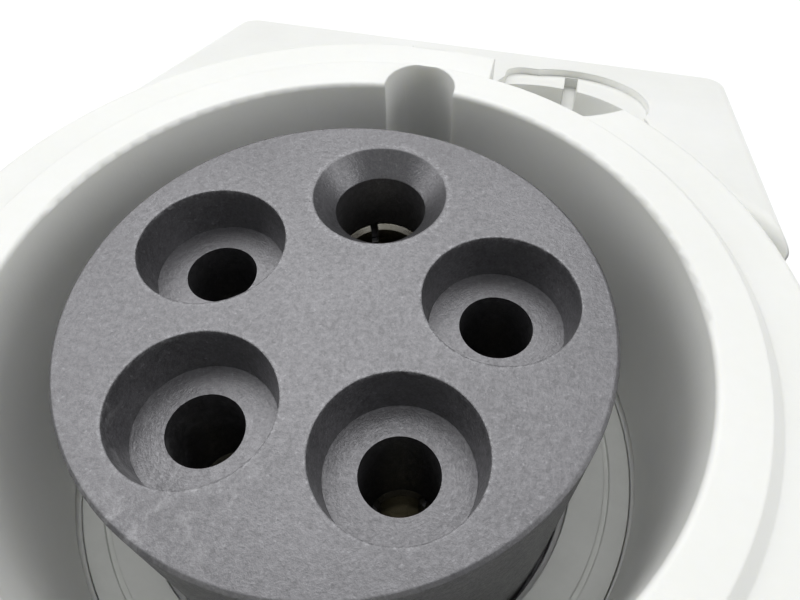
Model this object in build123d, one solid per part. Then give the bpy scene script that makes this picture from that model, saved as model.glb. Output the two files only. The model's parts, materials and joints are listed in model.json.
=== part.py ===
from build123d import *
import os
from math import cos, sin, tan, radians

# Surface-mounted five-contact socket box. Millimetres, +Z out of the wall.
# The origin is on the wall plane, under the axis of the round plug collar.
# +Y is the keyway and cable-entry end, -Y is the end with the lid hinge.

# ---- driving dimensions ----
R = 24.0                       # radius of the round contact carrier
RIM_Z = 78.0                   # top of the collar above the wall
HALF_WIDTH = 41.8              # box, across X
BOX_LOW_Y = -50.0              # hinge end of the box
BOX_HIGH_Y = 72.4              # cable end of the box
CORNER = 3.6                   # plan corner radius of box and cover
WALL = 2.6                     # moulded wall thickness
FLOOR = 3.0                    # back wall of the rear box
SPLIT_Z = 34.0                 # top of the rear box
GASKET = 1.0                   # compressed thickness of the box gasket
COVER_Z = SPLIT_Z + GASKET     # underside of the front cover
SHOULDER_Z = RIM_Z - 1.35 * R  # low shoulder of the cover beside the collar

# ---- collar ----
BORE_R = 1.31 * R              # inside of the collar
RING_R = 1.485 * R             # outer edge of the raised rim
FLANGE_R = 1.73 * R            # outside of the collar
FLANGE_DROP = 0.05 * R         # flange below the rim
FLANGE_THICK = 3.0
SKIN_R = FLANGE_R - WALL       # inside of the outer collar wall
COLLAR_FLOOR_Z = 50.1          # bottom of the plug gap, under its seal
COLLAR_FLOOR_THICK = 5.0
SEAL_THICK = 1.5
KEY_R = 0.165 * R              # half-round keyway
KEY_Y = 1.325 * R
UNDERCUT_R = 1.36 * R

# ---- sloping shoulder between collar and cable end ----
SLOPE = 16.6                   # degrees
SLOPE_END_Z = RIM_Z - 0.861 * R
WEDGE_Y = 18.0                 # hidden end of the shoulder, inside the clearance
MOAT_R = 47.4                  # clearance round the collar for the lid's skirt
EDGE_ROUND = 1.8               # top edges of the shoulder

# ---- screw well in the shoulder: a D-shaped hole inside a shallow ledge ----
WELL_X = 0.5875 * R
WELL_Y = 1.917 * R
WELL_R = 0.607 * R
WELL_LEFT = 7.3                # flat side of the well and of its ledge
WELL_FLOOR_Z = 50.0
WELL_WALL = 2.2
LEDGE_X = 0.73 * R
LEDGE_Y = 2.29 * R
LEDGE_R = 0.47 * R
LEDGE_FAR_Y = 64.9             # straight part of the ledge's far edge
LEDGE_DEPTH = 1.1
LEDGE_WALL = 1.6
SLOT_WIDTH = 2.0
SLOT_DEPTH = 1.8
CORNER_SCREWS = ((-32.5, -42.0), (32.5, -42.0))
COVER_SCREWS = ((WELL_X, WELL_Y),) + CORNER_SCREWS

# ---- contact carrier ----
CONTACT_PITCH_R = 0.595 * R
EARTH_ANGLE = 90.0
LINE_ANGLES = {"contact_line_1": 162.0, "contact_line_2": 234.0,
               "contact_line_3": 306.0, "contact_neutral": 18.0}
CARRIER_FLANGE_R = 30.0
CARRIER_LOW_Z = 41.0
CARRIER_SPLIT_Z = 52.0         # joint between the barrel and its base
CORE_SPLIT_Z = 61.3            # joint between the core and the barrel
EDGE_BREAK = 0.3               # bevel round the carrier's face
CARRIER_FLANGE_Z = COLLAR_FLOOR_Z - COLLAR_FLOOR_THICK - 0.1
PLATE_LOW_Z = 36.0
POCKET_RIM_R = 0.2886 * R
POCKET_LEDGE_R = 0.2596 * R
POCKET_DEPTH = 0.191 * R
FACE_SPLIT_Z = RIM_Z - POCKET_DEPTH    # joint between the core and the carrier's face
LINE_HOLE_R = 0.1416 * R
EARTH_RIM_R = 0.273 * R
EARTH_HOLE_R = 0.188 * R
EARTH_CONE = 0.096 * R
LINE_TOP_Z = RIM_Z - 17.0      # top of a line contact sleeve
EARTH_TOP_Z = RIM_Z - 9.3      # the earth contact makes first
LINE_BORE_R = 3.08             # for 6 mm pins
EARTH_BORE_R = 4.08            # for the 8 mm earth pin
SLEEVE_WALL = 1.02
WAY_GAP = 0.25                 # round each sleeve in the carrier
SHOULDER_OVER = 1.4            # contact shoulder beyond its sleeve
CARRIER_SCREW_R = 27.0
CARRIER_SCREW_ANGLES = (54.0, 126.0, 198.0, 342.0)

# ---- cable entries ----
ENTRY_Z = 17.0
ENTRY_R = 12.7                 # clearance hole for a 25 mm gland
GLAND_R = 12.4
CABLE_R = 6.5

# ---- wall fixing ----
FIX_X = 30.0
FIX_LOW_Y = -26.0
FIX_HIGH_Y = 59.0
FIX_R = 2.6

# ---- lid ----
HINGE_Y = -48.0
HINGE_Z = 72.0
PIN_R = 1.5
LID_OPEN = 115.0               # degrees from shut to the stop
LID_IN_R = FLANGE_R + 0.6
LID_OUT_R = LID_IN_R + 2.4
LID_SKIRT_Z = 73.7
LID_INNER_Z = 79.5
LID_TOP_Z = 82.4
KNUCKLE_R = 3.6
ARM_HALF = 9.7
LUG_WEB_Z = 73.0               # top of the hinge lugs' webs, under the lid's skirt


def rod(radius, low, high, x=0.0, y=0.0):
    """Upright cylinder between two heights."""
    return Pos(x, y, (low + high) / 2) * Cylinder(radius, high - low)


def ring(outer, inner, low, high, x=0.0, y=0.0):
    """Upright tube between two heights."""
    return rod(outer, low, high, x, y) - rod(inner, low - 1, high + 1, x, y)


def cone(low_r, high_r, low, high, x=0.0, y=0.0):
    """Upright truncated cone between two heights."""
    return Pos(x, y, (low + high) / 2) * Cone(low_r, high_r, high - low)


def block(x0, x1, y0, y1, z0, z1):
    """Box between two corners."""
    middle = Pos((x0 + x1) / 2, (y0 + y1) / 2, (z0 + z1) / 2)
    return middle * Box(x1 - x0, y1 - y0, z1 - z0)


def rod_y(radius, low, high, z):
    """Cylinder along Y over the box's centre line."""
    return Pos(0, (low + high) / 2, z) * Rot(90, 0, 0) * Cylinder(radius, high - low)


def ring_y(outer, inner, low, high, z):
    """Tube along Y over the box's centre line."""
    return rod_y(outer, low, high, z) - rod_y(inner, low - 1, high + 1, z)


def hexagon_y(across_flats, low, high, z):
    """Hexagonal bar along Y with a flat underneath."""
    outline = Pos(0, high, z) * Rot(90, 0, 0) * RegularPolygon(across_flats / 2, 6, False)
    return extrude(outline, high - low)


def plan_plate(inset, low, high):
    """The box's rounded plan shape, drawn in by inset."""
    width = 2 * (HALF_WIDTH - inset)
    length = BOX_HIGH_Y - BOX_LOW_Y - 2 * inset
    middle = Pos(0, (BOX_HIGH_Y + BOX_LOW_Y) / 2, low)
    outline = middle * RectangleRounded(width, length, max(CORNER - inset, 0.8))
    return extrude(outline, high - low)


def spot(angle, radius=CONTACT_PITCH_R):
    """Plan place of something on a circle about the collar axis."""
    return radius * cos(radians(angle)), radius * sin(radians(angle))


def slope_z(y):
    """Height of the sloping shoulder."""
    return SLOPE_END_Z + (BOX_HIGH_Y - y) * tan(radians(SLOPE))


def on_slope(x, y, drop=0.0):
    """Frame on the sloping shoulder, drop below its surface."""
    return Pos(x, y, slope_z(y)) * Rot(-SLOPE, 0, 0) * Pos(0, 0, -drop)


# ---- enclosure ----

def rear_box():
    """Open tray that goes on the wall, with bosses and two cable entries."""
    body = plan_plate(0, 0, SPLIT_Z)
    body = fillet(body.faces().sort_by(Axis.Z)[0].edges(), 1.2)
    body -= plan_plate(WALL, FLOOR, SPLIT_Z + 1)
    for x, y in COVER_SCREWS:
        body += rod(5.2, FLOOR, SPLIT_Z, x, y)
        body -= rod(2.75, SPLIT_Z - 14, SPLIT_Z + 1, x, y)
    for x in (-FIX_X, FIX_X):
        for y in (FIX_LOW_Y, FIX_HIGH_Y):
            body += rod(6.4, FLOOR, FLOOR + 1.2, x, y)
            body -= rod(FIX_R, -1, FLOOR + 3, x, y)
    body -= rod_y(ENTRY_R, BOX_HIGH_Y - WALL - 1, BOX_HIGH_Y + 1, ENTRY_Z)
    body -= rod_y(ENTRY_R, BOX_LOW_Y - 1, BOX_LOW_Y + WALL + 1, ENTRY_Z)
    return body


def box_gasket():
    """Flat seal on the rim of the rear box."""
    return plan_plate(0.4, SPLIT_Z, COVER_Z) - plan_plate(WALL - 0.3, SPLIT_Z - 1, COVER_Z + 1)


def wedge(inset, low):
    """Sloping shoulder from inside the clearance to the cable end."""
    near = WEDGE_Y + inset
    far = BOX_HIGH_Y - inset
    side = Polyline((0, near, low), (0, far, low), (0, far, slope_z(far) - inset),
                    (0, near, slope_z(near) - inset), close=True)
    half = HALF_WIDTH - inset
    prism = Pos(-half, 0, 0) * extrude(make_face(side), 2 * half, dir=(1, 0, 0))
    return prism & plan_plate(inset, low - 1, RIM_Z)


def well_plan(grow):
    """D-shaped outline of the screw well, grown outwards."""
    width = 2 * (WELL_R + grow)
    keep = Pos(WELL_LEFT - grow + width / 2, WELL_Y) * Rectangle(width, 2 * width)
    return Pos(WELL_X, WELL_Y) * Circle(WELL_R + grow) & keep


def ledge_plan(grow):
    """Outline of the shallow ledge: round to the right, square to the left."""
    round_end = Pos(LEDGE_X, LEDGE_Y) * Circle(LEDGE_R + grow)
    low = WELL_Y - WELL_R
    width = LEDGE_X - WELL_LEFT + grow
    length = LEDGE_FAR_Y - low + grow
    square = Pos(LEDGE_X - width / 2, low + length / 2) * Rectangle(width, length)
    corner = square.vertices().sort_by(Axis.Y)[-2:].sort_by(Axis.X)[0]
    return round_end + fillet(corner, 3.0 + grow)


def above_slope(drop):
    """Everything above the sloping shoulder lowered by drop."""
    return on_slope(LEDGE_X, LEDGE_Y, drop) * Pos(0, 0, 40) * Box(160, 160, 80)


def raised(outline, low, high):
    """Upright prism on a plan outline."""
    return Pos(0, 0, low) * extrude(outline, high - low, dir=(0, 0, 1))


def hump():
    """Sloping shoulder, cut back round the collar, with rounded top edges."""
    body = wedge(0, COVER_Z) - rod(MOAT_R, SHOULDER_Z, RIM_Z + 1)
    top = body.faces().filter_by(lambda f: f.normal_at().Z > 0.9 and f.center().Z > SHOULDER_Z + 1)
    body = fillet(top[0].edges(), EDGE_ROUND)
    return body + (wedge(0, COVER_Z) & raised(well_plan(WELL_WALL), COVER_Z, RIM_Z))


def cover_shell():
    """Outer envelope of the front cover without its hollow."""
    low = plan_plate(0, COVER_Z, SHOULDER_Z)
    low = fillet(low.faces().sort_by(Axis.Z)[-1].edges(), 2.0)
    drum = rod(FLANGE_R, COVER_Z, RIM_Z - FLANGE_DROP)
    drum = fillet(drum.edges().sort_by(Axis.Z)[-1], 0.5)
    return low + hump() + drum


def cover_hollow():
    """Space inside the front cover."""
    hollow = plan_plate(WALL, COVER_Z - 1, SHOULDER_Z - WALL)
    hollow += wedge(WALL, COVER_Z - 1) - rod(MOAT_R + WALL, SHOULDER_Z - WALL, RIM_Z)
    hollow += rod(SKIN_R, COVER_Z - 1, RIM_Z - FLANGE_DROP - FLANGE_THICK)
    return hollow


def collar():
    """Inner collar tube, its raised rim, floor and keyway backing."""
    low = COLLAR_FLOOR_Z - COLLAR_FLOOR_THICK
    tube = rod(RING_R, low, RIM_Z)
    tube += cone(RING_R + FLANGE_DROP, RING_R, RIM_Z - FLANGE_DROP, RIM_Z)
    tube += rod(SKIN_R + 0.5, low, COLLAR_FLOOR_Z)
    tube += rod(KEY_R + 2.4, low, RIM_Z - FLANGE_DROP, 0, KEY_Y) & rod(FLANGE_R - 1, low, RIM_Z)
    tube -= rod(BORE_R, COLLAR_FLOOR_Z, RIM_Z + 1)
    tube -= ring(UNDERCUT_R, BORE_R - 1, COLLAR_FLOOR_Z + SEAL_THICK, COLLAR_FLOOR_Z + SEAL_THICK + 1.7)
    tube -= rod(KEY_R, COLLAR_FLOOR_Z, RIM_Z + 1, 0, KEY_Y)
    tube -= rod(R + 0.4, low - 1, COLLAR_FLOOR_Z + 1)
    for angle in CARRIER_SCREW_ANGLES:
        x, y = spot(angle, CARRIER_SCREW_R)
        tube -= rod(1.65, low - 1, COLLAR_FLOOR_Z - 0.8, x, y)
    return tube


def screw_pillars():
    """Well walls, the pad under its ledge and the pillars of the cover screws."""
    pillars = raised(well_plan(WELL_WALL), WELL_FLOOR_Z - 4, RIM_Z)
    pillars += rod(5.2, COVER_Z, WELL_FLOOR_Z, WELL_X, WELL_Y)
    pad = raised(ledge_plan(LEDGE_WALL), WELL_FLOOR_Z, RIM_Z) & above_slope(7.0)
    pillars += pad - above_slope(0)
    for x, y in CORNER_SCREWS:
        pillars += rod(5.2, COVER_Z, SHOULDER_Z - 0.5, x, y)
    return pillars & cover_shell()


def well_cut():
    """Screw well, its ledge and the drain slot through the ledge."""
    cut = raised(well_plan(0), WELL_FLOOR_Z, RIM_Z + 1)
    cut += raised(ledge_plan(0), WELL_FLOOR_Z, RIM_Z + 1) & above_slope(LEDGE_DEPTH)
    slot_far = LEDGE_Y + LEDGE_R - 0.6
    slot_low = slope_z(slot_far) - LEDGE_DEPTH - SLOT_DEPTH
    cut += block(LEDGE_X - SLOT_WIDTH / 2, LEDGE_X + SLOT_WIDTH / 2, WELL_Y, slot_far, slot_low, RIM_Z)
    cut += rod(2.3, COVER_Z - 1, WELL_FLOOR_Z + 1, WELL_X, WELL_Y)
    for x, y in CORNER_SCREWS:
        cut += rod(2.3, COVER_Z - 1, SHOULDER_Z + 1, x, y)
        cut += rod(4.6, SHOULDER_Z - 3.4, SHOULDER_Z + 1, x, y)
    return cut


def hinge_lugs():
    """Two lugs on the collar that hold the hinge pin."""
    lugs = None
    for side in (-1, 1):
        inner = side * (ARM_HALF + 0.4)
        outer = side * (ARM_HALF + 6.4)
        x0, x1 = sorted((inner, outer))
        eye = Pos((x0 + x1) / 2, HINGE_Y, HINGE_Z) * Rot(0, 90, 0) * Cylinder(KNUCKLE_R, x1 - x0)
        web = block(x0, x1, HINGE_Y, -FLANGE_R + 3.0, HINGE_Z - KNUCKLE_R, LUG_WEB_Z)
        foot = Polyline((x0, HINGE_Y, HINGE_Z - KNUCKLE_R), (x0, -FLANGE_R + 3.0, HINGE_Z - KNUCKLE_R),
                        (x0, -FLANGE_R + 3.0, HINGE_Z - 14.0), close=True)
        rib = extrude(make_face(foot), x1 - x0, dir=(1, 0, 0))
        lugs = eye + web + rib if lugs is None else lugs + eye + web + rib
    lugs -= rod(SKIN_R + 0.5, COVER_Z, RIM_Z)
    pin_hole = Pos(0, HINGE_Y, HINGE_Z) * Rot(0, 90, 0) * Cylinder(PIN_R + 0.02, 60)
    return lugs - pin_hole


def front_cover():
    """Front shell with the collar, sloping shoulder, screw wells and hinge lugs."""
    body = cover_shell() - cover_hollow() - rod(BORE_R, RIM_Z - 10, RIM_Z + 1)
    body += screw_pillars() - rod(RING_R + 1.0, COVER_Z, RIM_Z)
    body -= well_cut()
    body += collar()
    body -= rod(KEY_R, COLLAR_FLOOR_Z, RIM_Z + 1, 0, KEY_Y)
    body += hinge_lugs()
    notch = Rot(0, 0, 0.5) * block(-2.6, 2.6, FLANGE_R - 0.6, FLANGE_R + 1, RIM_Z - 5, RIM_Z)
    body -= notch
    mouth = body.edges().filter_by(GeomType.CIRCLE).filter_by(
        lambda e: abs(e.radius - BORE_R) < 0.01 and abs(e.center().Z - RIM_Z) < 0.01)
    return fillet(mouth, 0.5)


def plug_seal_ring():
    """Seal on the collar floor, with a fine groove round it."""
    low = COLLAR_FLOOR_Z
    top = low + SEAL_THICK
    seal = ring(BORE_R - 0.15, R + 0.9, low, top)
    seal -= ring(1.2 * R + 0.3, 1.2 * R - 0.3, top - 0.45, top + 1)
    return seal - rod(KEY_R, low - 1, top + 1, 0, KEY_Y)


# ---- contacts ----

def contact_ways(body):
    """Cut the contact sleeves' holes through a piece of the carrier."""
    for _, angle, bore, _ in all_contacts():
        x, y = spot(angle)
        body -= rod(bore + SLEEVE_WALL + WAY_GAP, CARRIER_LOW_Z - 1, CORE_SPLIT_Z + 1, x, y)
    return body


def contact_carrier():
    """Face of the round insulator: the walls of four line pockets and the earth hole's cone."""
    body = rod(R, FACE_SPLIT_Z, RIM_Z)
    body = chamfer(body.edges().sort_by(Axis.Z)[-1], EDGE_BREAK)
    for angle in LINE_ANGLES.values():
        body -= cone(POCKET_LEDGE_R, POCKET_RIM_R, FACE_SPLIT_Z, RIM_Z, *spot(angle))
    x, y = spot(EARTH_ANGLE)
    body -= cone(EARTH_HOLE_R, EARTH_RIM_R, RIM_Z - EARTH_CONE, RIM_Z, x, y)
    return body - rod(EARTH_HOLE_R, FACE_SPLIT_Z - 1, RIM_Z, x, y)


def carrier_core():
    """Upper half of the insulator's barrel: the pockets' ledges and the pins' holes."""
    body = rod(R, CORE_SPLIT_Z, FACE_SPLIT_Z)
    for angle in LINE_ANGLES.values():
        body -= rod(LINE_HOLE_R, CORE_SPLIT_Z - 1, FACE_SPLIT_Z + 1, *spot(angle))
    x, y = spot(EARTH_ANGLE)
    body -= rod(EARTH_HOLE_R, CORE_SPLIT_Z - 1, FACE_SPLIT_Z + 1, x, y)
    return body - rod(EARTH_BORE_R + SLEEVE_WALL + WAY_GAP, CORE_SPLIT_Z - 1, EARTH_TOP_Z + 0.3, x, y)


def carrier_barrel():
    """Lower half of the insulator's barrel, round the contact sleeves."""
    return contact_ways(rod(R, CARRIER_SPLIT_Z, CORE_SPLIT_Z))


def carrier_base():
    """Flanged foot of the insulator, screwed to the collar floor."""
    body = rod(R, CARRIER_LOW_Z, CARRIER_SPLIT_Z)
    body += rod(CARRIER_FLANGE_R, CARRIER_LOW_Z, CARRIER_FLANGE_Z)
    for angle in CARRIER_SCREW_ANGLES:
        x, y = spot(angle, CARRIER_SCREW_R)
        body -= rod(1.9, CARRIER_LOW_Z - 1, CARRIER_FLANGE_Z + 1, x, y)
    return contact_ways(body)


def all_contacts():
    """Each contact's name, plan place, bore radius and top height."""
    rows = []
    for name, angle in LINE_ANGLES.items():
        rows.append((name, angle, LINE_BORE_R, LINE_TOP_Z))
    rows.append(("contact_earth", EARTH_ANGLE, EARTH_BORE_R, EARTH_TOP_Z))
    return rows


def carrier_back_plate():
    """Plate that traps the contact shoulders against the carrier."""
    plate = rod(CARRIER_FLANGE_R - 0.5, PLATE_LOW_Z, CARRIER_LOW_Z - 0.05)
    for _, angle, bore, _ in all_contacts():
        x, y = spot(angle)
        sleeve = bore + SLEEVE_WALL
        plate -= rod(sleeve + SHOULDER_OVER + 0.2, PLATE_LOW_Z + 2, CARRIER_LOW_Z + 1, x, y)
        plate -= rod(sleeve + 0.7, PLATE_LOW_Z - 1, CARRIER_LOW_Z, x, y)
    for angle in CARRIER_SCREW_ANGLES:
        x, y = spot(angle, CARRIER_SCREW_R)
        plate -= rod(1.9, PLATE_LOW_Z - 1, CARRIER_LOW_Z + 1, x, y)
    return plate


def contact(angle, bore, top):
    """Split contact sleeve with a shoulder and a screw terminal below."""
    x, y = spot(angle)
    sleeve = bore + SLEEVE_WALL
    block_r = sleeve + 0.5
    body = rod(sleeve, PLATE_LOW_Z + 3, top)
    body += rod(sleeve + SHOULDER_OVER, PLATE_LOW_Z + 2.1, CARRIER_LOW_Z - 0.1)
    body += rod(block_r, 24.0, PLATE_LOW_Z + 3)
    body -= rod(bore, CARRIER_LOW_Z + 1, top + 1)
    body -= cone(bore, bore + 0.45, top - 0.45, top)
    body -= ring(sleeve + 1, sleeve - 0.5, top - 4.2, top - 2.9)
    for turn in (28, 118):
        slit = block(-sleeve - 2, sleeve + 2, -0.4, 0.4, top - 15, top + 1)
        body -= slit.rotate(Axis.Z, turn)
    body -= rod(2.4, 23.0, 34.0)
    body -= Pos(block_r / 2 + 1, 0, 29.0) * Rot(0, 90, 0) * Cylinder(1.95, block_r + 2)
    return Pos(x, y, 0) * body.rotate(Axis.Z, angle)


def contact_spring_rings():
    """Split spring rings, one round each contact sleeve."""
    rings = []
    for _, angle, bore, top in all_contacts():
        x, y = spot(angle)
        sleeve = bore + SLEEVE_WALL
        clip = ring(sleeve + 0.15, sleeve - 0.45, top - 4.1, top - 3.0)
        clip -= block(0, sleeve + 2, -0.5, 0.5, top - 5, top - 2)
        rings.append(Pos(x, y, 0) * clip.rotate(Axis.Z, angle + 73))
    return Compound(rings)


def terminal_screws():
    """Slotted grub screws that clamp the wires."""
    screws = []
    for _, angle, bore, _ in all_contacts():
        x, y = spot(angle)
        reach = bore + SLEEVE_WALL
        screw = Pos(reach + 0.2, 0, 29.0) * Rot(0, 90, 0) * Cylinder(1.85, 4.4)
        screw -= block(reach + 1.5, reach + 4, -0.35, 0.35, 26.0, 32.0)
        screws.append(Pos(x, y, 0) * screw.rotate(Axis.Z, angle))
    return Compound(screws)


# ---- fasteners and seals ----

def pan_screw(x, y, seat, shank_r, head_r, head_h, tip):
    """Pan-head screw with a cross recess, driven from above."""
    screw = rod(head_r, seat, seat + head_h)
    screw = chamfer(screw.edges().sort_by(Axis.Z)[-1], head_h * 0.3)
    screw += rod(shank_r, tip + 1.2, seat)
    screw += cone(shank_r * 0.45, shank_r, tip, tip + 1.2)
    for turn in (0, 90):
        wing = block(-head_r * 0.55, head_r * 0.55, -0.45, 0.45, seat + head_h * 0.35, seat + head_h + 1)
        screw -= wing.rotate(Axis.Z, turn)
    return Pos(x, y, 0) * screw


def cover_screws():
    """Three screws that hold the front cover on the rear box."""
    screws = [pan_screw(WELL_X, WELL_Y, WELL_FLOOR_Z + 1.0, 2.0, 4.0, 2.6, SPLIT_Z - 10)]
    for x, y in CORNER_SCREWS:
        screws.append(pan_screw(x, y, SHOULDER_Z - 2.4, 2.0, 4.0, 2.3, SPLIT_Z - 10))
    return Compound(screws)


def cover_screw_seals():
    """Sealing washer under each cover screw head."""
    seals = [ring(4.1, 2.05, WELL_FLOOR_Z, WELL_FLOOR_Z + 1.0, WELL_X, WELL_Y)]
    for x, y in CORNER_SCREWS:
        seals.append(ring(4.1, 2.05, SHOULDER_Z - 3.4, SHOULDER_Z - 2.4, x, y))
    return Compound(seals)


def cover_screw_inserts():
    """Brass threaded inserts in the rear box."""
    return Compound([ring(2.74, 2.05, SPLIT_Z - 12, SPLIT_Z - 0.2, x, y) for x, y in COVER_SCREWS])


def carrier_screws():
    """Four screws from behind that hold plate and carrier to the collar floor."""
    screws = []
    for angle in CARRIER_SCREW_ANGLES:
        x, y = spot(angle, CARRIER_SCREW_R)
        screw = pan_screw(0, 0, -PLATE_LOW_Z, 1.6, 3.1, 2.2, -(COLLAR_FLOOR_Z - 1.2))
        screws.append(Pos(x, y, 0) * screw.rotate(Axis.X, 180))
    return Compound(screws)


def wall_hole_seals():
    """Rubber washers on the wall fixing holes."""
    low = FLOOR + 1.2
    seals = []
    for x in (-FIX_X, FIX_X):
        for y in (FIX_LOW_Y, FIX_HIGH_Y):
            seals.append(ring(5.6, FIX_R + 0.1, low, low + 1.4, x, y))
    return Compound(seals)


# ---- cable entries ----

def gland_body():
    """Gland body through the cable-end wall."""
    out = BOX_HIGH_Y + 1.2
    body = rod_y(GLAND_R, BOX_HIGH_Y - WALL - 7, out, ENTRY_Z)
    body += hexagon_y(29.0, out, out + 6.0, ENTRY_Z)
    body += rod_y(11.0, out + 6.0, out + 14.0, ENTRY_Z)
    body -= rod_y(8.6, BOX_HIGH_Y - WALL - 8, out + 6.0, ENTRY_Z)
    return body - rod_y(9.6, out + 5.0, out + 15.0, ENTRY_Z)


def gland_washer():
    """Flat seal between gland and box."""
    return ring_y(14.3, GLAND_R + 0.05, BOX_HIGH_Y, BOX_HIGH_Y + 1.2, ENTRY_Z)


def gland_seal():
    """Rubber sleeve that grips the cable."""
    out = BOX_HIGH_Y + 6.3
    return ring_y(9.5, CABLE_R, out, out + 9.5, ENTRY_Z)


def gland_nut():
    """Domed nut that squeezes the rubber sleeve."""
    low = BOX_HIGH_Y + 7.5
    nut = hexagon_y(27.0, low, low + 9.0, ENTRY_Z)
    dome = Pos(0, low + 9.0, ENTRY_Z) * Rot(-90, 0, 0) * Cone(12.6, 9.6, 6.0, align=(
        Align.CENTER, Align.CENTER, Align.MIN))
    nut += dome
    nut -= rod_y(11.1, low - 1, low + 8.6, ENTRY_Z)
    return nut - rod_y(7.6, low, low + 20, ENTRY_Z)


def locknut(low):
    """Hexagonal locknut inside the box."""
    nut = hexagon_y(27.4, low, low + 4.5, ENTRY_Z)
    return nut - rod_y(GLAND_R + 0.05, low - 1, low + 6, ENTRY_Z)


def blanking_plug():
    """Slotted plug in the unused entry at the hinge end."""
    head = rod_y(14.6, BOX_LOW_Y - 4.0, BOX_LOW_Y - 1.2, ENTRY_Z)
    head = fillet(head.edges().sort_by(Axis.Y)[0], 0.8)
    head += rod_y(GLAND_R, BOX_LOW_Y - 1.2, BOX_LOW_Y + 8.0, ENTRY_Z)
    head -= rod_y(GLAND_R - 2.0, BOX_LOW_Y - 0.2, BOX_LOW_Y + 9.0, ENTRY_Z)
    return head - block(-8, 8, BOX_LOW_Y - 5, BOX_LOW_Y - 2.8, ENTRY_Z - 1.0, ENTRY_Z + 1.0)


def blanking_washer():
    """Flat seal under the blanking plug's head."""
    return ring_y(14.3, GLAND_R + 0.05, BOX_LOW_Y - 1.2, BOX_LOW_Y, ENTRY_Z)


# ---- lid, drawn shut and then turned open about the hinge ----

def opened(shape):
    """Turn a shut lid piece to the open stop."""
    return shape.rotate(Axis((0, HINGE_Y, HINGE_Z), (1, 0, 0)), LID_OPEN)


def lid():
    """Round flap lid with a skirt, a lifting tab and a hinge arm."""
    body = rod(LID_OUT_R, LID_SKIRT_Z, LID_TOP_Z)
    body = fillet(body.edges().sort_by(Axis.Z)[-1], 2.2)
    tab = block(-9, 9, LID_OUT_R - 4, LID_OUT_R + 7, LID_TOP_Z - 5.4, LID_TOP_Z - 2.4)
    body += fillet(tab.edges().filter_by(Axis.Z).sort_by(Axis.Y)[-2:], 3.0)
    arm = block(-ARM_HALF, ARM_HALF, HINGE_Y, -LID_IN_R - 0.6, HINGE_Z - 0.8, LID_TOP_Z - 2.2)
    eye = Pos(0, HINGE_Y, HINGE_Z) * Rot(0, 90, 0) * Cylinder(KNUCKLE_R, 2 * ARM_HALF)
    body += arm
    body += eye
    body -= rod(LID_IN_R, LID_SKIRT_Z - 20, LID_INNER_Z)
    body += ring(BORE_R - 1.5, BORE_R - 3.5, LID_INNER_Z - 1.2, LID_INNER_Z + 1)
    body -= Pos(0, HINGE_Y, HINGE_Z) * Rot(0, 90, 0) * Cylinder(PIN_R + 0.06, 40)
    return opened(body)


def lid_gasket():
    """Soft ring in the lid that meets the collar rim."""
    return opened(ring(RING_R + 0.6, BORE_R - 1.4, RIM_Z + 0.3, LID_INNER_Z))


def lid_hinge_pin():
    """Steel pin through both lugs and the lid's arm."""
    length = 2 * (ARM_HALF + 6.4) + 0.8
    return Pos(0, HINGE_Y, HINGE_Z) * Rot(0, 90, 0) * Cylinder(PIN_R, length)


def build_all():
    """Every node's name and solid."""
    nodes = {
        "rear_box": rear_box(), "box_gasket": box_gasket(), "front_cover": front_cover(),
        "plug_seal_ring": plug_seal_ring(), "contact_carrier": contact_carrier(),
        "carrier_core": carrier_core(), "carrier_barrel": carrier_barrel(),
        "carrier_base": carrier_base(),
        "carrier_back_plate": carrier_back_plate(), "contact_spring_rings": contact_spring_rings(),
        "terminal_screws": terminal_screws(), "carrier_screws": carrier_screws(),
        "cover_screws": cover_screws(), "cover_screw_seals": cover_screw_seals(),
        "cover_screw_inserts": cover_screw_inserts(), "wall_hole_seals": wall_hole_seals(),
        "gland_body": gland_body(), "gland_washer": gland_washer(), "gland_seal": gland_seal(),
        "gland_nut": gland_nut(), "gland_locknut": locknut(BOX_HIGH_Y - WALL - 4.6),
        "blanking_plug": blanking_plug(), "blanking_washer": blanking_washer(),
        "blanking_locknut": locknut(BOX_LOW_Y + WALL + 0.1),
        "lid": lid(), "lid_gasket": lid_gasket(), "lid_hinge_pin": lid_hinge_pin(),
    }
    for name, angle, bore, top in all_contacts():
        nodes[name] = contact(angle, bore, top)
    return nodes


os.makedirs("parts", exist_ok=True)
for node, solid in build_all().items():
    export_step(solid, f"parts/{node}.step")
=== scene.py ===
import json
import math
import bmesh
import bpy
from mathutils import Matrix, Vector


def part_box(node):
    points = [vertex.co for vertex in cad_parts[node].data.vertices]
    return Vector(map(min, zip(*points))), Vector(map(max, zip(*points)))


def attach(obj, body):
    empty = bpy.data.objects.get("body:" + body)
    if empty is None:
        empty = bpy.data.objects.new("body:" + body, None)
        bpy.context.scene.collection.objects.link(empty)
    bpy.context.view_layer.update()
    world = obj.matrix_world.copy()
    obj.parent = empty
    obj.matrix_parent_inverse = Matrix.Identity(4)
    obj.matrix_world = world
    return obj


# Looks for the five-contact keyed socket box. Metres, in the model's own frame:
# +Z out of the wall along the collar axis, +Y towards the keyway and the cable gland.

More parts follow.
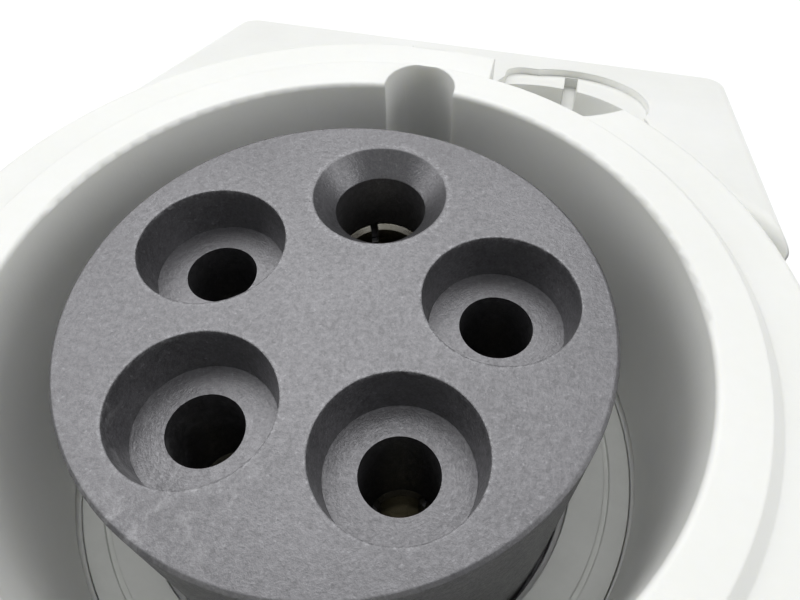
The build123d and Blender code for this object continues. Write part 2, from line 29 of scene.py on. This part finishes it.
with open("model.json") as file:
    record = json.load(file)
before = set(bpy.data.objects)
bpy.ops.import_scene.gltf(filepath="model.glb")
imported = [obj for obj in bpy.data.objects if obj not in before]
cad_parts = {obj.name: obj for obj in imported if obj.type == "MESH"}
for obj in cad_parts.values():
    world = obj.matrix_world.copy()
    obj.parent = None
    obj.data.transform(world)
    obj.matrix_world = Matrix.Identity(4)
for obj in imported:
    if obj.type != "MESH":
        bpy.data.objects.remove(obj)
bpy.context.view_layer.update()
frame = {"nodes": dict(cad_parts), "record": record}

MM = 0.001
RIM_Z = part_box("contact_carrier")[1].z          # face of the contact carrier
CARRIER_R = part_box("contact_carrier")[1].x
HOLE_PITCH = 0.595 * CARRIER_R                  # radius of the circle of contact holes
HOLE_STEP = math.radians(72)                    # angle from one hole to the next
HOLE_START = math.radians(18)                   # angle of the hole nearest +X
LEDGE_R = 0.26 * CARRIER_R                      # outer edge of the turned ledge in a hole
POCKET_RIM_R = 0.2886 * CARRIER_R               # rim of a hole's pocket in the face
EDGE_SOFT_DEPTH = 4.2 * MM                      # the carrier's layers meet flush below this
LINE_TOP_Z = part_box("contact_line_1")[1].z      # mouths of the contact sleeves
EARTH_TOP_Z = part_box("contact_earth")[1].z
RIM_CENTRE = Vector((0, 0, RIM_Z))
ENTRY_Z = 17 * MM                               # axes of the cable entries
SIDE_ENTRY_Y = (-12 * MM, 32 * MM)              # blind entries along each side wall
HINGE = Vector((0, -48, 72)) * MM               # a point on the lid's hinge axis
LID_OPEN = math.radians(115)
LID_INNER_Z = 79.5 * MM                         # faces of the lid while it is shut
LID_TOP_Z = 82.4 * MM

# ---- camera: where it stands from the middle of the carrier's face ----
CAMERA_FROM_RIM = Vector((14.2, -31.4, 47.15)) * MM
AIM_FROM_RIM = Vector((5.1, 2.1, 0)) * MM
CAMERA_ROLL = math.radians(-1.5)
LENS = 30.36
SENSOR_WIDTH = 36


def place_camera():
    """Close view across the carrier towards the keyway."""
    data = bpy.data.cameras.new("camera")
    data.lens = LENS
    data.sensor_width = SENSOR_WIDTH
    data.clip_start = 0.002
    data.clip_end = 20
    camera = bpy.data.objects.new("camera", data)
    bpy.context.scene.collection.objects.link(camera)
    place = RIM_CENTRE + CAMERA_FROM_RIM
    look = (RIM_CENTRE + AIM_FROM_RIM - place).to_track_quat("-Z", "Y")
    roll = Matrix.Rotation(CAMERA_ROLL, 4, "Z")
    camera.matrix_world = Matrix.Translation(place) @ look.to_matrix().to_4x4() @ roll
    bpy.context.scene.camera = camera


# ---- stage ----

WORLD_STRENGTH = 0.29
AIR_COLOUR = (0.96, 0.98, 1.0, 1)
PAPER_COLOUR = (0.93, 0.93, 0.93, 1)
FLOOR_HALF = 1.5                                # metres
FLOOR_GAP = 0.2 * MM                            # keeps the floor clear of the box's back
# name, azimuth and elevation in degrees, distance and size in metres, watts
LAMPS = (
    ("window_lamp", 113, 54, 0.80, (0.66, 0.58), 3.3),
    ("far_right_lamp", 45, 55, 0.80, (0.50, 0.50), 0.9),
    ("far_left_lamp", 165, 50, 0.80, (0.50, 0.50), 0.6),
    ("right_lamp", 0, 25, 0.80, (0.50, 0.50), 1.9),
    ("left_lamp", 180, 28, 0.80, (0.50, 0.50), 1.9),
    ("top_lamp", 270, 86, 0.80, (0.50, 0.50), 0.8),
)


def area_light(name, azimuth, elevation, distance, size, power):
    """Soft rectangular lamp that looks at the carrier's face."""
    data = bpy.data.lights.new(name, "AREA")
    data.shape = "RECTANGLE"
    data.size, data.size_y = size
    data.energy = power
    light = bpy.data.objects.new(name, data)
    bpy.context.scene.collection.objects.link(light)
    across, up = math.radians(azimuth), math.radians(elevation)
    away = Vector((
        math.cos(across) * math.cos(up),
        math.sin(across) * math.cos(up),
        math.sin(up),
    ))
    aim = (-away).to_track_quat("-Z", "Y").to_matrix().to_4x4()
    light.matrix_world = Matrix.Translation(RIM_CENTRE + away * distance) @ aim


def build_stage():
    """White paper floor behind the box, bright air and soft lamps round it."""
    scene = bpy.context.scene
    scene.view_settings.view_transform = "Standard"
    world = bpy.data.worlds.new("air")
    scene.world = world
    world.use_nodes = True
    air = world.node_tree.nodes["Background"]
    air.inputs["Color"].default_value = AIR_COLOUR
    air.inputs["Strength"].default_value = WORLD_STRENGTH
    half = FLOOR_HALF
    data = bpy.data.meshes.new("floor")
    corners = [(-half, -half, 0), (half, -half, 0), (half, half, 0), (-half, half, 0)]
    data.from_pydata(corners, [], [(0, 1, 2, 3)])
    floor = bpy.data.objects.new("floor", data)
    scene.collection.objects.link(floor)
    floor.location.z = -FLOOR_GAP
    paint = bpy.data.materials.new("floor_paper")
    paint.use_nodes = True
    shader = paint.node_tree.nodes["Principled BSDF"]
    shader.inputs["Base Color"].default_value = PAPER_COLOUR
    shader.inputs["Roughness"].default_value = 0.9
    data.materials.append(paint)
    for row in LAMPS:
        area_light(*row)


# ---- node helpers ----

def live_vectors(sockets):
    """The vector sockets that a node uses in its present mode."""
    return [socket for socket in sockets if socket.type == "VECTOR" and socket.enabled]


class Look:
    """A material being built: short calls that add and join nodes."""

    def __init__(self, name, edge=0.25 * MM):
        self.material = bpy.data.materials.new(name)
        self.material.use_nodes = True
        self.tree = self.material.node_tree
        self.shader = self.tree.nodes["Principled BSDF"]
        self.coords = self.tree.nodes.new("ShaderNodeTexCoord").outputs["Object"]
        rounded = self.tree.nodes.new("ShaderNodeBevel")
        rounded.samples = 4
        rounded.inputs["Radius"].default_value = edge
        self.normal = rounded.outputs["Normal"]

    def keep_edges_above(self, height):
        """Soften edges only above a height, so that flush joints below stay unseen."""
        flat = self.tree.nodes.new("ShaderNodeNewGeometry").outputs["Normal"]
        node = self.tree.nodes.new("ShaderNodeMix")
        node.data_type = "VECTOR"
        z = self.xyz()[2]
        self.link(self.spread(z, height - 0.1 * MM, height + 0.1 * MM), node.inputs["Factor"])
        first, second = live_vectors(node.inputs)[:2]
        self.link(flat, first)
        self.link(self.normal, second)
        self.normal = live_vectors(node.outputs)[0]

    def link(self, source, target):
        self.tree.links.new(source, target)

    def math(self, operation, first, second=0.0, third=0.0):
        """A sum on sockets or plain numbers."""
        node = self.tree.nodes.new("ShaderNodeMath")
        node.operation = operation
        for socket, value in zip(node.inputs, (first, second, third)):
            if isinstance(value, (int, float)):
                socket.default_value = value
            else:
                self.link(value, socket)
        return node.outputs[0]

    def noise(self, scale, detail=3.0, roughness=0.55, distortion=0.0, coords=None):
        """Grain in the object's own coordinates, or in stretched ones."""
        node = self.tree.nodes.new("ShaderNodeTexNoise")
        node.inputs["Scale"].default_value = scale
        node.inputs["Detail"].default_value = detail
        node.inputs["Roughness"].default_value = roughness
        node.inputs["Distortion"].default_value = distortion
        self.link(coords or self.coords, node.inputs["Vector"])
        return node.outputs["Fac"]

    def stretch(self, scale, turn=0.0):
        """The object's coordinates scaled, and turned by some degrees about Z."""
        node = self.tree.nodes.new("ShaderNodeMapping")
        node.inputs["Scale"].default_value = scale
        node.inputs["Rotation"].default_value = (0, 0, math.radians(turn))
        self.link(self.coords, node.inputs["Vector"])
        return node.outputs["Vector"]

    def spread(self, value, low, high, new_low=0.0, new_high=1.0):
        """Map a value's low to high onto new limits, and hold it there beyond them."""
        node = self.tree.nodes.new("ShaderNodeMapRange")
        self.link(value, node.inputs["Value"])
        limits = {"From Min": low, "From Max": high, "To Min": new_low, "To Max": new_high}
        for name, number in limits.items():
            node.inputs[name].default_value = number
        return node.outputs["Result"]

    def blend(self, factor, first, second):
        """Mix two colours, each a socket or plain red, green and blue."""
        node = self.tree.nodes.new("ShaderNodeMix")
        node.data_type = "RGBA"
        self.link(factor, node.inputs["Factor"])
        colours = [socket for socket in node.inputs if socket.type == "RGBA"]
        for socket, colour in zip(colours, (first, second)):
            if isinstance(colour, tuple):
                socket.default_value = (*colour, 1)
            else:
                self.link(colour, socket)
        return next(socket for socket in node.outputs if socket.type == "RGBA")

    def xyz(self):
        """The object's coordinates, one by one."""
        node = self.tree.nodes.new("ShaderNodeSeparateXYZ")
        self.link(self.coords, node.inputs[0])
        return node.outputs

    def distance(self, x, y):
        """Length of a flat vector."""
        squares = self.math("ADD", self.math("MULTIPLY", x, x), self.math("MULTIPLY", y, y))
        return self.math("SQRT", squares)

    def colour(self, source):
        self.link(source, self.shader.inputs["Base Color"])

    def roughness(self, source):
        self.link(source, self.shader.inputs["Roughness"])

    def bump(self, source, depth, strength=1.0):
        """Add relief on top of the relief so far."""
        node = self.tree.nodes.new("ShaderNodeBump")
        node.inputs["Distance"].default_value = depth
        node.inputs["Strength"].default_value = strength
        self.link(source, node.inputs["Height"])
        self.link(self.normal, node.inputs["Normal"])
        self.normal = node.outputs["Normal"]
        self.link(self.normal, self.shader.inputs["Normal"])


# ---- materials ----

TURNING = (1, 1, 12)                            # squeezes grain along Z into turning marks
WORN_SPOT = (-9 * MM, -17 * MM)                 # most rubbed place on the carrier's face
TURNED_STEP = 0.27 * MM                         # between the tool marks on the ledges


def housing_plastic():
    """Pale grey moulded plastic: satin grain, flow mottling, rubbed marks and faint scuffs."""
    look = Look("grey_housing", 0.35 * MM)
    broad = look.noise(45, 3)
    fine = look.noise(900, 4)
    tone = look.math("MULTIPLY_ADD", look.math("SUBTRACT", fine, 0.5), 0.25, broad)
    base = look.blend(look.spread(tone, 0.3, 0.7), (0.770, 0.775, 0.745), (0.805, 0.810, 0.790))
    scuffs = look.noise(420, 6, 0.72, 1.2, look.stretch((1, 5, 1), 35))
    scuff_patch = look.spread(look.noise(38, 3, 0.5), 0.50, 0.66)
    marks = look.math("MULTIPLY", look.spread(scuffs, 0.63, 0.74), scuff_patch)
    look.colour(look.blend(look.math("MULTIPLY", marks, 0.30), base, (0.52, 0.51, 0.47)))
    sheen = look.spread(look.noise(220, 5), 0.3, 0.7, 0.34, 0.50)
    look.roughness(look.math("MULTIPLY_ADD", marks, 0.2, sheen))
    look.bump(look.noise(2600, 3), 0.03 * MM, 0.30)
    look.bump(marks, 0.02 * MM, 0.5)
    drawn = look.noise(160, 5, 0.7, 0.6, look.stretch((1, 9, 1)))
    look.bump(look.spread(drawn, 0.60, 0.72), 0.02 * MM, 0.35)
    look.shader.inputs["Subsurface Weight"].default_value = 0.15
    look.shader.inputs["Subsurface Radius"].default_value = (0.0030, 0.0028, 0.0018)
    look.shader.inputs["Subsurface Scale"].default_value = 0.6
    return look.material


def hole_distance(look):
    """Distance from the nearest contact hole's axis, by folding the circle of five."""
    x, y, _ = look.xyz()
    angle = look.math("ARCTAN2", y, x)
    turned = look.math("SUBTRACT", angle, HOLE_START - HOLE_STEP / 2)
    folded = look.math("WRAP", turned, HOLE_STEP, 0.0)
    local = look.math("SUBTRACT", folded, HOLE_STEP / 2)
    radius = look.distance(x, y)
    outward = look.math("MULTIPLY", radius, look.math("COSINE", local))
    along = look.math("SUBTRACT", outward, HOLE_PITCH)
    across = look.math("MULTIPLY", radius, look.math("SINE", local))
    return look.distance(along, across)


def insulator_plastic():
    """Black glass-filled plastic: silvery matt skin, pale grain, turned ledges, frayed rims that
    are worn and carry a painted edge highlight.
    """
    look = Look("black_insulator", 0.25 * MM)
    look.keep_edges_above(RIM_Z - EDGE_SOFT_DEPTH)
    x, y, z = look.xyz()
    grain = look.noise(4200, 3, 0.75)
    mottle = look.noise(1500, 4, 0.7)
    cloud = look.noise(90, 4, 0.6)
    tone = look.math("MULTIPLY_ADD", look.math("SUBTRACT", mottle, 0.5), 0.8, grain)
    tone = look.math("MULTIPLY_ADD", look.math("SUBTRACT", cloud, 0.5), 0.35, tone)
    dark = look.blend(look.spread(tone, 0.30, 0.74), (0.003, 0.003, 0.003), (0.060, 0.059, 0.063))
    specks = look.noise(2600, 2, 0.4)
    speckled = look.blend(look.spread(specks, 0.66, 0.75, 0.0, 0.40), dark, (0.20, 0.20, 0.21))
    rub = look.noise(420, 6, 0.75, 0.8, look.stretch((1, 0.6, 1), -35))
    worn_x = look.math("ADD", x, -WORN_SPOT[0])
    worn_y = look.math("ADD", y, -WORN_SPOT[1])
    wear_and_glint = look.spread(look.distance(worn_x, worn_y), 2 * MM, 11 * MM, 1.0, 0.0)
    scuff = look.math("MULTIPLY", look.spread(rub, 0.50, 0.66), wear_and_glint)
    scuffed = look.blend(look.math("MULTIPLY", scuff, 0.55), speckled, (0.30, 0.30, 0.305))
    distance = hole_distance(look)
    # pale frayed pocket rims on the face: edge wear plus a painted edge highlight
    off_rim = look.math("ABSOLUTE", look.math("SUBTRACT", distance, POCKET_RIM_R))
    near_rim = look.spread(off_rim, 0.05 * MM, 0.42 * MM, 1.0, 0.0)
    on_face = look.spread(z, RIM_Z - 0.5 * MM, RIM_Z - 0.2 * MM)
    frayed = look.math("MULTIPLY", near_rim, look.spread(look.noise(2600, 4, 0.8), 0.46, 0.62))
    rim_wear_and_highlight = look.math("MULTIPLY", frayed, look.math("MULTIPLY", on_face, 0.45))
    look.colour(look.blend(rim_wear_and_highlight, scuffed, (0.30, 0.30, 0.31)))
    look.roughness(look.spread(tone, 0.28, 0.74, 0.47, 0.31))
    look.bump(grain, 0.06 * MM, 0.60)
    look.bump(mottle, 0.10 * MM, 0.35)
    wander = look.math("MULTIPLY_ADD", look.noise(700, 3), 0.35 * MM, distance)
    rings = look.math("SINE", look.math("MULTIPLY", wander, 2 * math.pi / TURNED_STEP))
    inside = look.spread(distance, LEDGE_R + 0.1 * MM, LEDGE_R)
    patchy = look.math("MULTIPLY", inside, look.spread(look.noise(900, 3), 0.35, 0.65))
    look.bump(look.math("MULTIPLY", rings, patchy), 0.006 * MM, 0.30)
    look.shader.inputs["IOR"].default_value = 1.80
    look.shader.inputs["Specular IOR Level"].default_value = 0.86
    look.shader.inputs["Specular Tint"].default_value = (0.97, 0.96, 1.0, 1)
    return look.material


def metal(name, dark, light, roughness):
    """Turned or plated metal with fine turning marks and dull patches."""
    look = Look(name, 0.12 * MM)
    look.shader.inputs["Metallic"].default_value = 1.0
    patch = look.noise(320, 4)
    look.colour(look.blend(look.spread(patch, 0.3, 0.7), dark, light))
    turned = look.noise(1400, 4, 0.6, 0.0, look.stretch(TURNING))
    look.roughness(look.spread(turned, 0.25, 0.75, roughness - 0.08, roughness + 0.12))
    look.bump(turned, 0.02 * MM, 0.4)
    return look.material


def contact_metal():
    """Silvery contact sleeves: painted glint bands down the line bores and at the earth's mouth,
    painted shade elsewhere.
    """
    look = Look("contact_metal", 0.12 * MM)
    look.shader.inputs["Metallic"].default_value = 1.0
    z = look.xyz()[2]
    # painted glint: a band about 9.8 to 3.3 mm below the line sleeves' mouths, and the top
    # millimetre of the earth sleeve
    over_foot = look.spread(z, LINE_TOP_Z - 10.4 * MM, LINE_TOP_Z - 9.2 * MM)
    under_mouth = look.spread(z, LINE_TOP_Z - 4.0 * MM, LINE_TOP_Z - 2.6 * MM, 1.0, 0.0)
    earth_mouth = look.spread(z, EARTH_TOP_Z - 1.6 * MM, EARTH_TOP_Z - 0.4 * MM)
    bright = look.math("MAXIMUM", look.math("MULTIPLY", over_foot, under_mouth), earth_mouth)
    # patchy pale metal colour, used only inside the painted glint bands
    patch = look.noise(420, 4)
    wear_and_glint = look.blend(look.spread(patch, 0.3, 0.7), (0.62, 0.58, 0.47), (0.80, 0.77, 0.67))
    # painted shade: dull dark metal everywhere outside the painted glint bands
    look.colour(look.blend(bright, (0.26, 0.24, 0.18), wear_and_glint))
    turned = look.noise(1400, 4, 0.6, 0.0, look.stretch(TURNING))
    look.roughness(look.spread(turned, 0.25, 0.75, 0.22, 0.42))
    look.bump(turned, 0.02 * MM, 0.4)
    return look.material


def rubber(name, dark, light, roughness=0.75):
    """Soft matt rubber with bloom and tiny pits."""
    look = Look(name, 0.2 * MM)
    bloom = look.noise(260, 5, 0.65)
    look.colour(look.blend(look.spread(bloom, 0.3, 0.7), dark, light))
    look.roughness(look.spread(look.noise(600, 3), 0.3, 0.7, roughness - 0.08, roughness + 0.1))
    look.bump(look.noise(3000, 3), 0.04 * MM, 0.4)
    return look.material


def nylon():
    """Mid grey moulded nylon of the gland and plugs."""
    look = Look("gland_grey", 0.3 * MM)
    flow = look.noise(120, 4)
    look.colour(look.blend(look.spread(flow, 0.3, 0.7), (0.25, 0.26, 0.27), (0.31, 0.32, 0.33)))
    look.roughness(look.spread(look.noise(400, 4), 0.3, 0.7, 0.38, 0.52))
    look.bump(look.noise(2200, 3), 0.04 * MM, 0.4)
    return look.material


LOOKS = {
    "grey_housing": housing_plastic(),
    "black_insulator": insulator_plastic(),
    "contact_metal": contact_metal(),
    "screw_steel": metal("screw_steel", (0.50, 0.50, 0.51), (0.68, 0.68, 0.69), 0.34),
    "insert_brass": metal("insert_brass", (0.60, 0.44, 0.20), (0.76, 0.60, 0.30), 0.32),
    "pale_seal": rubber("pale_seal", (0.80, 0.81, 0.78), (0.86, 0.87, 0.84), 0.50),
    "dark_seal": rubber("dark_seal", (0.025, 0.025, 0.025), (0.05, 0.05, 0.05)),
    "gland_grey": nylon(),
}


def dress_cad():
    """Give every CAD node its slot's material."""
    for row in frame["record"]["subparts"]:
        node = frame["nodes"][row["node"]]
        node.data.materials.clear()
        node.data.materials.append(LOOKS[row["material_slot"]])


# ---- moulded detail ----

BEAD_STEPS = 8                                  # facets across a bead
NUT_TAPER = ((5.7, 12.45), (0.7, 10.0))         # mm back from the nut's end, and radius there
RIB_DRAFT = 0.75                                # rib's width under its edge, against its root
RIB_EDGE = 0.15 * MM                            # height of the sloped edge of its crest
RIB_CREST = 0.6                                 # crest's width, against that under the edge


def add_piece(name, mesh, slot, body):
    """Put a finished bmesh in the scene as a piece that rides on a body."""
    bmesh.ops.recalc_face_normals(mesh, faces=mesh.faces)
    data = bpy.data.meshes.new(name)
    mesh.to_mesh(data)
    mesh.free()
    piece = bpy.data.objects.new(name, data)
    bpy.context.scene.collection.objects.link(piece)
    data.materials.append(LOOKS[slot])
    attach(piece, body)


def sweep(mesh, profile, turns=96, centre=(0, 0, 0), axis="Z"):
    """Turn a closed outline of (radius, height) points into a ring about Z, or about X."""
    rings = []
    for step in range(turns):
        angle = 2 * math.pi * step / turns
        ring = []
        for radius, height in profile:
            point = Vector((radius * math.cos(angle), radius * math.sin(angle), height))
            if axis == "X":
                point = Vector((point.z, point.x, point.y))
            ring.append(mesh.verts.new(Vector(centre) + point))
        rings.append(ring)
    count = len(profile)
    for step, ring in enumerate(rings):
        following = rings[(step + 1) % turns]
        for place in range(count):
            after = (place + 1) % count
            mesh.faces.new((ring[place], ring[after], following[after], following[place]))


def bead(radius, height, half_width, low):
    """Outline of a low rounded bead: radius of its crest, its height and half width."""
    points = [(radius + half_width, low)]
    for step in range(1, BEAD_STEPS):
        angle = math.pi * step / BEAD_STEPS
        points.append((radius + half_width * math.cos(angle), low + height * math.sin(angle)))
    points.append((radius - half_width, low))
    return points


def bar(mesh, start, end, half_width, low, high):
    """Drafted rib between two plan points, with its root above and its crest below."""
    along = (Vector(end) - Vector(start)).normalized()
    side = Vector((-along.y, along.x)) * half_width
    levels = []
    crest = RIB_DRAFT * RIB_CREST
    for height, share in ((high, 1.0), (low + RIB_EDGE, RIB_DRAFT), (low, crest)):
        corners = []
        for place, sign in ((start, 1), (end, 1), (end, -1), (start, -1)):
            point = Vector(place) + side * sign * share
            corners.append(mesh.verts.new((point.x, point.y, height)))
        levels.append(corners)
    for upper, lower in zip(levels, levels[1:]):
        for step in range(4):
            after = (step + 1) % 4
            mesh.faces.new((upper[step], upper[after], lower[after], lower[step]))
    mesh.faces.new(levels[0])
    mesh.faces.new(levels[-1][::-1])


def at_angle(radius, degrees):
    """Plan point on a circle about the collar axis."""
    turn = math.radians(degrees)
    return radius * math.cos(turn), radius * math.sin(turn)


# ---- lid detail, drawn shut and then turned open about the hinge ----

def lid_piece(name, mesh):
    """Turn shut lid detail to the open rest pose and let it ride on the lid."""
    swing = Matrix.Rotation(LID_OPEN, 4, "X")
    turn = Matrix.Translation(HINGE) @ swing @ Matrix.Translation(-HINGE)
    bmesh.ops.transform(mesh, matrix=turn, verts=mesh.verts)
    add_piece(name, mesh, "grey_housing", "lid")


def lid_ribs():
    """Stiffening ribs, hub and ejector marks inside the lid."""
    mesh = bmesh.new()
    sunk = LID_INNER_Z + 0.3 * MM
    rib_crest = LID_INNER_Z - 0.75 * MM
    hub_crest = LID_INNER_Z - 0.7 * MM
    for step in range(8):
        turn = 22.5 + 45 * step
        start, end = at_angle(6.2 * MM, turn), at_angle(25.6 * MM, turn)
        bar(mesh, start, end, 0.6 * MM, rib_crest, sunk)
    hub = [(7.0 * MM, sunk), (6.9 * MM, hub_crest), (5.9 * MM, hub_crest), (5.8 * MM, sunk)]
    sweep(mesh, hub, 48)
    ejector_mark = bead(2.4 * MM, -0.18 * MM, 0.2 * MM, LID_INNER_Z)
    for step in range(4):
        x, y = at_angle(17 * MM, 90 * step)
        sweep(mesh, ejector_mark, 32, (x, y, 0))
    lid_piece("lid_ribs", mesh)


def lid_face_ring():
    """Two shallow raised rings on the outside of the lid."""
    foot = LID_TOP_Z - 0.05 * MM
    mesh = bmesh.new()
    sweep(mesh, bead(30 * MM, 0.40 * MM, 1.1 * MM, foot), 128)
    sweep(mesh, bead(33.4 * MM, 0.22 * MM, 0.5 * MM, foot), 128)
    lid_piece("lid_face_ring", mesh)


def knockouts():
    """Thin raised rings round the blind cable entries on both sides of the rear box."""
    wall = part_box("rear_box")[1].x
    foot = wall - 0.05 * MM
    mesh = bmesh.new()
    for sign in (-1, 1):
        for along in SIDE_ENTRY_Y:
            for radius in (12.6 * MM, 8.4 * MM):
                profile = bead(radius, 0.35 * MM, 0.5 * MM, foot)
                outline = [(r, sign * height) for r, height in profile]
                sweep(mesh, outline, 72, (0, along, ENTRY_Z), "X")
    add_piece("side_knockout_rings", mesh, "grey_housing", "housing")


def nut_ridges():
    """Grip ridges round the tapered end of the gland nut."""
    nut_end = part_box("gland_nut")[1].y
    mesh = bmesh.new()
    for step in range(24):
        turn = math.radians(15 * step)
        outward = Vector((math.cos(turn), 0, math.sin(turn)))
        side = Vector((-math.sin(turn), 0, math.cos(turn))) * 0.45 * MM
        rows = []
        for back, radius in NUT_TAPER:
            centre = Vector((0, nut_end - back * MM, ENTRY_Z))
            base = centre + outward * (radius - 0.3) * MM
            crest = centre + outward * (radius + 0.42) * MM
            corners = (base - side, crest - side * 0.4, crest + side * 0.4, base + side)
            rows.append([mesh.verts.new(corner) for corner in corners])
        for place in range(4):
            after = (place + 1) % 4
            mesh.faces.new((rows[0][place], rows[0][after], rows[1][after], rows[1][place]))
        mesh.faces.new(rows[0])
        mesh.faces.new(rows[1][::-1])
    add_piece("gland_nut_ridges", mesh, "gland_grey", "housing")


def pin_heads():
    """Domed ends on the hinge pin."""
    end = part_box("lid_hinge_pin")[1].x
    foot = end - 0.1 * MM
    pin_r, tip_r, dome = 2.1 * MM, 0.02 * MM, 0.55 * MM
    mesh = bmesh.new()
    for sign in (-1, 1):
        outline = [(tip_r, sign * foot), (pin_r, sign * foot)]
        for step in range(1, 7):
            turn = math.radians(15 * step)
            radius = max(pin_r * math.cos(turn), tip_r)
            outline.append((radius, sign * (end + dome * math.sin(turn))))
        sweep(mesh, outline, 40, (0, HINGE.y, HINGE.z), "X")
    add_piece("hinge_pin_heads", mesh, "screw_steel", "housing")


place_camera()
build_stage()
dress_cad()
lid_ribs()
lid_face_ring()
knockouts()
nut_ridges()
pin_heads()
